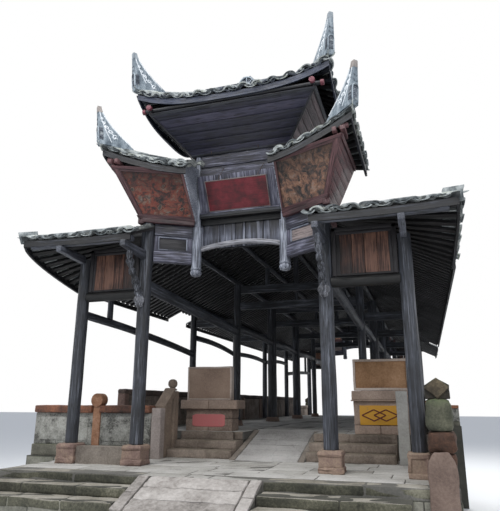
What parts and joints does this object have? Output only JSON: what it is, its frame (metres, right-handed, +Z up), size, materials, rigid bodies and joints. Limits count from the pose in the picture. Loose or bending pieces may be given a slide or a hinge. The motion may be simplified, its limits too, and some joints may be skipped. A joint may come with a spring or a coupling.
{
  "type": "covered timber gallery bridge",
  "caption": "Timber gallery bridge on a stone arch, with tiered gateways of flared boarded panels, tiled roofs and upswept plaster horns at both ends.",
  "frame": {"origin": "centre of the footprint at the foot of the masonry", "axes": "+X across the bridge to the right of someone entering by the front gateway, +Y along the bridge away from them, +Z up"},
  "size_m": [10.5, 28.74, 13.078],
  "materials": {
    "masonry": "rough dressed stone",
    "paving": "worn slabs",
    "red_stone": "weathered red sandstone",
    "timber": "dark weathered timber",
    "painted_board": "faded painted boards",
    "red_lacquer": "worn red paint",
    "roof_tile": "grey clay tile",
    "lime_plaster": "weathered lime plaster"
  },
  "bodies": {
    "root": {"arch_barrel": "masonry", "spandrel_walls": "masonry", "arch_fill": "masonry", "front_abutment": "masonry", "rear_abutment": "masonry", "terrace_paving": "paving", "deck_paving": "paving", "centre_ramps": "paving", "street_ramps": "paving", "deck_steps": "red_stone", "street_steps": "paving", "bank_parapets": "red_stone", "climbing_parapets": "red_stone", "side_parapets": "red_stone", "end_posts": "red_stone", "left_stele": "red_stone", "right_stele": "red_stone", "column_plinths": "red_stone", "gate_sills": "red_stone", "gate_main_columns": "timber", "gate_outer_columns": "timber", "inner_columns": "timber", "aisle_columns": "timber", "tie_beams": "timber", "aisle_beams": "timber", "inner_logs": "timber", "outer_logs": "timber", "low_rails": "timber", "short_posts": "timber", "purlins": "timber", "gallery_roof": "roof_tile", "gallery_ridge": "roof_tile", "hanging_posts": "timber", "wing_frames": "timber", "wing_flares": "painted_board", "wing_roofs": "roof_tile", "centre_box": "timber", "lintel_screen": "timber", "plaque": "red_lacquer", "top_flares": "timber", "top_roof": "roof_tile", "roof_horns": "lime_plaster", "side_panels": "painted_board", "side_roofs": "roof_tile", "eave_brackets": "timber"}
  },
  "joints": []
}
